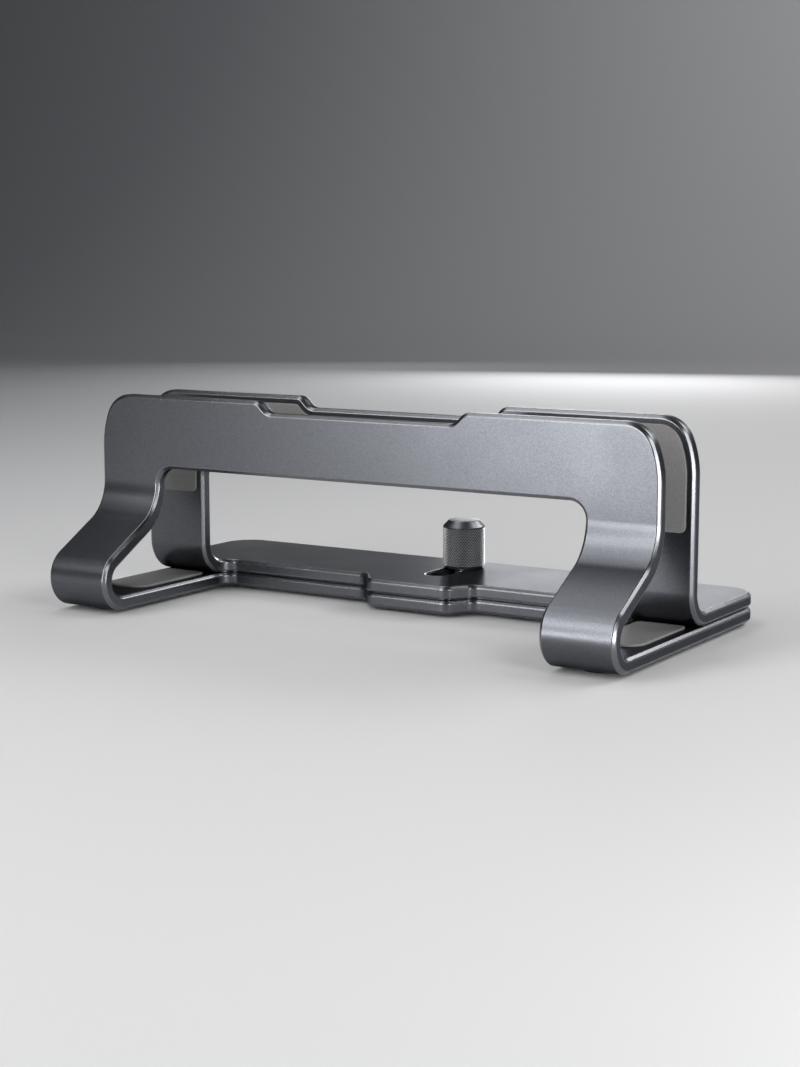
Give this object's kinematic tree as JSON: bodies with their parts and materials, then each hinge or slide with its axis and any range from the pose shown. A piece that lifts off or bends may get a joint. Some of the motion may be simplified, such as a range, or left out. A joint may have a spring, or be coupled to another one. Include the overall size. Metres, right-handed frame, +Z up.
{
  "type": "vertical laptop stand",
  "caption": "Bent-plate vertical laptop stand: curled front legs, sliding rear wall and knurled clamp knob set the slot width; soft pads line walls and base",
  "frame": {"origin": "middle of the stand's length and depth, on the desk under the rubber feet", "axes": "X left to right along the stand, Y from the curled noses to the rear edge, Z up"},
  "size_m": [0.184, 0.0963, 0.0626],
  "materials": {
    "frame": "bead-blasted and anodised grey, with bright chamfered edges",
    "pad": "matt warm grey silicone",
    "foot": "matt black rubber",
    "knob": "anodised grey, diamond-knurled grip with a turned top",
    "steel": "plain machined",
    "washer": "matt black",
    "insert": "plain machined"
  },
  "bodies": {
    "base": {"base_frame": "frame", "front_wall_pad": "pad", "base_pad_left": "pad", "base_pad_right": "pad", "foot_front_left": "foot", "foot_front_right": "foot", "foot_rear_left": "foot", "foot_rear_right": "foot", "threaded_insert": "insert", "guide_pin_left": "steel", "guide_pin_right": "steel"},
    "slider": {"sliding_frame": "frame", "rear_wall_pad": "pad"},
    "washer": {"washer": "washer"},
    "knob": {"knob": "knob", "stud": "steel"}
  },
  "joints": [
    {"name": "width_slide", "type": "slide", "parent": "base", "child": "slider", "axis": [0, 1, 0], "range_m": [0, 0.0155]},
    {"name": "knob_lift", "type": "slide", "parent": "base", "child": "washer", "axis": [0, 0, 1], "range_m": [0, 0.002]},
    {"name": "knob_turn", "type": "hinge", "parent": "washer", "child": "knob", "pos_m": [0, 0.03675, 0.014], "axis": [0, 0, 1], "range_deg": [0, 722]}
  ],
  "couplings": [
    {"joint": "knob_turn", "follows": "knob_lift", "rad_per_m": 6283.2}
  ]
}
